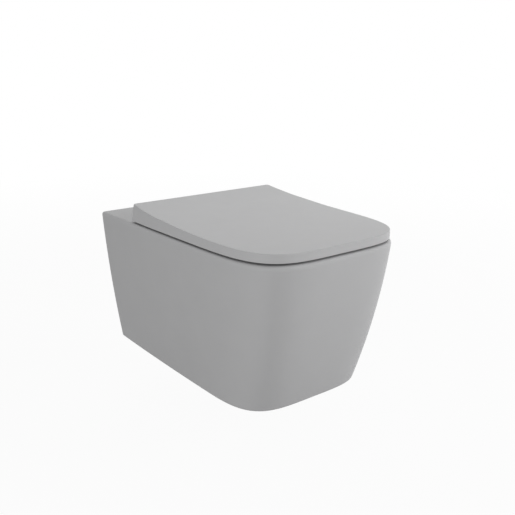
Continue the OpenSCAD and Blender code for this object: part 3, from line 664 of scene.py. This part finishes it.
def seat_hole(grow):
    """The opening's plan, with as many points as the seat's outline has."""
    front_steps = CORNER_STEPS + SIDE_STEPS + FRONT_STEPS - HOLE_REAR_STEPS
    hw, back = HOLE_HW + grow, HOLE_WIDE_Y - HOLE_REAR + grow
    ahead = HOLE_FRONT + grow - HOLE_WIDE_Y
    e = 2 / HOLE_N
    half = []
    for k in range(HOLE_REAR_STEPS):
        a = math.radians(HOLE_REAR_TURN) * (1 - k / HOLE_REAR_STEPS)
        half.append((hw * math.cos(a) ** e, HOLE_WIDE_Y - back * math.sin(a) ** e))
    for a in turns(front_steps)[:-1]:
        half.append((hw * math.cos(a) ** e, HOLE_WIDE_Y + ahead * math.sin(a) ** e))
    return whole_plan(half + [(0.0, HOLE_WIDE_Y + ahead)])


def seat_body():
    rings = [flat_ring(seat_hole(SEAT_EASE), SEAT_LOW), flat_ring(seat_plan(SEAT_EASE), SEAT_LOW)]
    for a in turns(SEAT_EASE_STEPS, 1):
        up, inset = quarter(SEAT_EASE, a)
        rings.append(flat_ring(seat_plan(inset), SEAT_LOW + up))
    for a in turns(SEAT_TOP_STEPS):
        inset, drop = quarter(SEAT_ROUND, a)
        rings.append(flat_ring(seat_plan(inset), SEAT_TOP - drop))
    rings += [flat_ring(seat_hole(out), SEAT_TOP - drop) for out, drop in HOLE_ROLL]
    return orient(skin("seat_ring", rings, "join"))


def seat_lugs():
    arm_y = SEAT_REAR_Y + 14
    web = [(AXIS_Y, AXIS_Z + LUG_R),
           (SEAT_REAR_Y + 4, SEAT_TOP),
           (arm_y, SEAT_TOP - 1),
           (arm_y, SEAT_LOW + 1),
           (SEAT_REAR_Y - 4, SEAT_LOW + 1),
           (AXIS_Y, AXIS_Z - LUG_R)]
    return [build_lug("seat_lug", web, s, SEAT_LUG_X, SEAT_LUG_W) for s in SIDES]


def seat_bores():
    cuts = []
    for s in SIDES:
        cuts.append(side_bar("seat_bore", SHAFT_R + RUN_GAP, s, SEAT_LUG_X - PAST, SEAT_LUG_W + 2 * PAST))
        cuts += [rod("peg_hole", PEG_R, (s * x, y, SEAT_LOW - PAST), "up", PAST + PEG_H)
                 for x, y in SEAT_PADS]
    return cuts


def build_seat():
    seat = combine(seat_body(), seat_lugs(), "UNION")
    combine(seat, seat_bores(), "DIFFERENCE")
    smooth(seat)
    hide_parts("seat")
    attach(seat, "seat")
    return seat


# Nodes that the materials and the studio share

def new_material(name):
    m = bpy.data.materials.new(name)
    m.use_nodes = True
    nt = m.node_tree
    return m, nt, nt.nodes["Principled BSDF"], nt.nodes.new("ShaderNodeTexCoord")


def noise(nt, coords, scale, detail=3.0):
    n = nt.nodes.new("ShaderNodeTexNoise")
    n.inputs["Scale"].default_value = scale
    n.inputs["Detail"].default_value = detail
    nt.links.new(coords.outputs["Object"], n.inputs["Vector"])
    return n


def ramp(nt, source, low, high):
    r = nt.nodes.new("ShaderNodeValToRGB")
    for stop, colour, position in zip(r.color_ramp.elements, (low, high), (0.3, 0.7)):
        stop.color = (*colour, 1)
        stop.position = position
    nt.links.new(source.outputs["Fac"], r.inputs["Fac"])
    return r.outputs["Color"]


def scaled(nt, source, low, high):
    m = nt.nodes.new("ShaderNodeMapRange")
    m.inputs["To Min"].default_value = low
    m.inputs["To Max"].default_value = high
    nt.links.new(source.outputs["Fac"], m.inputs["Value"])
    return m.outputs["Result"]


def maths(nt, operation, first, second):
    node = nt.nodes.new("ShaderNodeMath")
    node.operation = operation
    nt.links.new(first, node.inputs[0])
    nt.links.new(second, node.inputs[1])
    return node.outputs[0]


def mixed(nt, share, first, second):
    node = nt.nodes.new("ShaderNodeMixShader")
    nt.links.new(share, node.inputs["Fac"])
    nt.links.new(first, node.inputs[1])
    nt.links.new(second, node.inputs[2])
    return node.outputs["Shader"]


def seen_rays(nt):
    """1 for rays from the camera, a mirror or a glass, 0 for the rays that light the object."""
    path = nt.nodes.new("ShaderNodeLightPath")
    seen = path.outputs["Is Camera Ray"]
    for ray in ("Is Glossy Ray", "Is Transmission Ray"):
        seen = maths(nt, "MAXIMUM", seen, path.outputs[ray])
    return seen


# Materials

GREY = 0.461  # the colour of the glaze and the lid in the photograph's light
GRAIN_BUMP, GRAIN_DEPTH = 0.25, 0.00002  # strength, and depth in metres


def grey(v, tint=1.01):
    return (v, v, v * tint)


def surface(name, low, high, rough, metallic=0.0, cloud=18.0, grain=900.0, spec=0.5):
    """A surface with slight clouding of its colour and a fine grain in roughness and height."""
    m, nt, bsdf, coords = new_material(name)
    nt.links.new(ramp(nt, noise(nt, coords, cloud), low, high), bsdf.inputs["Base Color"])
    fine = noise(nt, coords, grain, 2.0)
    nt.links.new(scaled(nt, fine, *rough), bsdf.inputs["Roughness"])
    bump = nt.nodes.new("ShaderNodeBump")
    bump.inputs["Strength"].default_value = GRAIN_BUMP
    bump.inputs["Distance"].default_value = GRAIN_DEPTH
    nt.links.new(fine.outputs["Fac"], bump.inputs["Height"])
    nt.links.new(bump.outputs["Normal"], bsdf.inputs["Normal"])
    bsdf.inputs["Metallic"].default_value = metallic
    bsdf.inputs["Specular IOR Level"].default_value = spec
    return m


# Each material's darker and lighter colour, its range of roughness, and what else it doesn't share
SURFACES = {
    "glaze": (grey(GREY * 0.995), grey(GREY * 1.015), (0.50, 0.58), {"spec": 0.14}),
    "duroplast": (grey(GREY * 0.995), grey(GREY * 1.012), (0.52, 0.60),
                  {"cloud": 30, "grain": 1400, "spec": 0.3}),
    "chrome": ((0.78, 0.79, 0.80), (0.84, 0.85, 0.86), (0.10, 0.18), {"metallic": 1.0, "grain": 300}),
    "steel": ((0.55, 0.55, 0.56), (0.66, 0.66, 0.67), (0.25, 0.36), {"metallic": 1.0, "grain": 700}),
    "damper_plastic": (grey(0.05), grey(0.075), (0.42, 0.55), {}),
    "button_plastic": (grey(0.27), grey(0.32), (0.42, 0.52), {}),
    "nut_plastic": ((0.70, 0.70, 0.67), (0.78, 0.78, 0.75), (0.4, 0.5), {}),
    "rubber": (grey(0.025), grey(0.040), (0.62, 0.75), {}),
    "buffer_rubber": (grey(0.42), grey(0.48), (0.45, 0.6), {})}


def make_materials():
    return {name: surface(name, low, high, rough, **more)
            for name, (low, high, rough, more) in SURFACES.items()}


# The CAD nodes that each material is given to. The other three are replaced.
NODE_MATERIALS = {
    "chrome": ("hinge_block_left", "hinge_block_right", "hinge_rosettes"),
    "steel": ("hinge_shaft_left", "hinge_shaft_right", "hinge_posts", "clamp_screws"),
    "damper_plastic": ("damper_left", "damper_right"),
    "button_plastic": ("release_button_left", "release_button_right"),
    "nut_plastic": ("plug_nuts", "fixing_bushes"),
    "rubber": ("fixing_plugs", "clamp_washers", "inlet_seal"),
    "buffer_rubber": ("seat_buffers", "lid_buffers")}
EASED_NODES = ("hinge_block_left", "hinge_block_right", "release_button_left", "release_button_right",
               "hinge_rosettes", "clamp_screws")
EDGE_EASE, EASED_ANGLE = 0.5, 40.0


def ease_edges(obj):
    b = obj.modifiers.new("eased_edges", "BEVEL")
    b.width = EDGE_EASE * MM
    b.segments = 3
    b.limit_method = "ANGLE"
    b.angle_limit = math.radians(EASED_ANGLE)


def dress_cad(materials):
    for slot, nodes in NODE_MATERIALS.items():
        for node in nodes:
            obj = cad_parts[node]
            for s in obj.material_slots:
                s.material = materials[slot]
            if not obj.material_slots:
                obj.data.materials.append(materials[slot])
    for node in EASED_NODES:
        ease_edges(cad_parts[node])


def paint(obj, material):
    obj.data.materials.clear()
    obj.data.materials.append(material)


# The camera, fitted to the photograph: place in millimetres, azimuth, elevation and focal length
CAMERA_AT = (-839.645, -1401.576, 420.533)
CAMERA_AZ, CAMERA_EL, LENS = -37.889, 16.419, 49.61


def make_camera():
    data = bpy.data.cameras.new("camera")
    data.lens = LENS
    data.sensor_width = 36.0
    data.sensor_fit = "AUTO"
    data.clip_start = 0.01
    data.clip_end = 100.0
    cam = bpy.data.objects.new("camera", data)
    bpy.context.scene.collection.objects.link(cam)
    cam.location = Vector(CAMERA_AT) * MM
    az, el = math.radians(CAMERA_AZ), math.radians(CAMERA_EL)
    forward = Vector((-math.sin(az) * math.cos(el), math.cos(az) * math.cos(el), -math.sin(el)))
    cam.rotation_euler = forward.to_track_quat("-Z", "Y").to_euler()
    bpy.context.scene.camera = cam


# The studio, in metres. The floor is seen nearly white close to the object and white far from it.
FLOOR_Z, FLOOR_HALF_SIZE = -0.32, 40.0
FLOOR_GREY = 0.5
FLOOR_FADE = {"From Min": 0.8, "From Max": 3.0, "To Min": 0.95, "To Max": 1.0}
# Softboxes: azimuth from the front toward the right, elevation, width, distance, and power in watts.
SOFTBOXES = {
    "left_low": (-60, 10, 1.4, 2.6, 21.6),
    "right_low": (45, 15, 0.5, 2.3, 16.6),
    "right_side": (60, 15, 0.5, 2.3, 11.6),
    "rear_low": (120, 10, 1.4, 2.6, 9.3),
    "rear_high": (150, 35, 1.4, 2.6, 11.7)}
# The small ones leave no mirror image, which would whiten the lid where it is seen flat from behind.
NO_MIRROR_IMAGE = ("right_low", "right_side")
LIT_POINT = (0.0, -0.3, -0.05)
WORLD_LIGHT = 0.45


def floor_whiteness(nt, coords):
    """How white the floor is seen, by its distance from the object."""
    away = nt.nodes.new("ShaderNodeVectorMath")
    away.operation = "LENGTH"
    nt.links.new(coords.outputs["Object"], away.inputs[0])
    fade = nt.nodes.new("ShaderNodeMapRange")
    fade.interpolation_type = "SMOOTHSTEP"
    for field, value in FLOOR_FADE.items():
        fade.inputs[field].default_value = value
    nt.links.new(away.outputs["Value"], fade.inputs["Value"])
    return maths(nt, "MULTIPLY", seen_rays(nt), fade.outputs["Result"])


def floor_material():
    m, nt, bsdf, coords = new_material("floor")
    colour = ramp(nt, noise(nt, coords, 3.0), grey(FLOOR_GREY, 1.0), grey(FLOOR_GREY * 1.01, 1.0))
    nt.links.new(colour, bsdf.inputs["Base Color"])
    bsdf.inputs["Roughness"].default_value = 0.9
    bsdf.inputs["Specular IOR Level"].default_value = 0.1
    white = nt.nodes.new("ShaderNodeEmission")
    white.inputs["Color"].default_value = (1, 1, 1, 1)
    white.inputs["Strength"].default_value = 1.0
    shader = mixed(nt, floor_whiteness(nt, coords), bsdf.outputs["BSDF"], white.outputs["Emission"])
    nt.links.new(shader, nt.nodes["Material Output"].inputs["Surface"])
    return m


def make_floor():
    mesh = bpy.data.meshes.new("floor")
    size, z = FLOOR_HALF_SIZE, FLOOR_Z
    mesh.from_pydata([(-size, -size, z), (size, -size, z), (size, size, z), (-size, size, z)], [],
                     [(0, 1, 2, 3)])
    obj = bpy.data.objects.new("floor", mesh)
    bpy.context.scene.collection.objects.link(obj)
    obj.data.materials.append(floor_material())


def background(nt, strength):
    node = nt.nodes.new("ShaderNodeBackground")
    node.inputs["Color"].default_value = (1, 1, 1, 1)
    node.inputs["Strength"].default_value = strength
    return node.outputs["Background"]


def make_world():
    """White where it is seen, and a plain soft light on the object."""
    world = bpy.data.worlds.new("studio")
    bpy.context.scene.world = world
    world.use_nodes = True
    nt = world.node_tree
    nt.nodes.clear()
    out = nt.nodes.new("ShaderNodeOutputWorld")
    shader = mixed(nt, seen_rays(nt), background(nt, WORLD_LIGHT), background(nt, 1.0))
    nt.links.new(shader, out.inputs["Surface"])


def softbox(name, azimuth, elevation, width, distance, power):
    data = bpy.data.lights.new(name, "AREA")
    data.shape = "RECTANGLE"
    data.size = data.size_y = width
    data.energy = power
    obj = bpy.data.objects.new(name, data)
    bpy.context.scene.collection.objects.link(obj)
    obj.visible_glossy = name not in NO_MIRROR_IMAGE
    a, e = math.radians(azimuth), math.radians(elevation)
    to = Vector(LIT_POINT)
    obj.location = to + distance * Vector(
        (math.sin(a) * math.cos(e), -math.cos(a) * math.cos(e), math.sin(e)))
    obj.rotation_euler = (to - obj.location).to_track_quat("-Z", "Y").to_euler()


def make_lights():
    for name, values in SOFTBOXES.items():
        softbox(name, *values)


materials = make_materials()
make_camera()
make_floor()
make_world()
make_lights()
bpy.context.scene.view_settings.view_transform = "Standard"
paint(build_pan(), materials["glaze"])
paint(build_lid(), materials["duroplast"])
paint(build_seat(), materials["duroplast"])
dress_cad(materials)
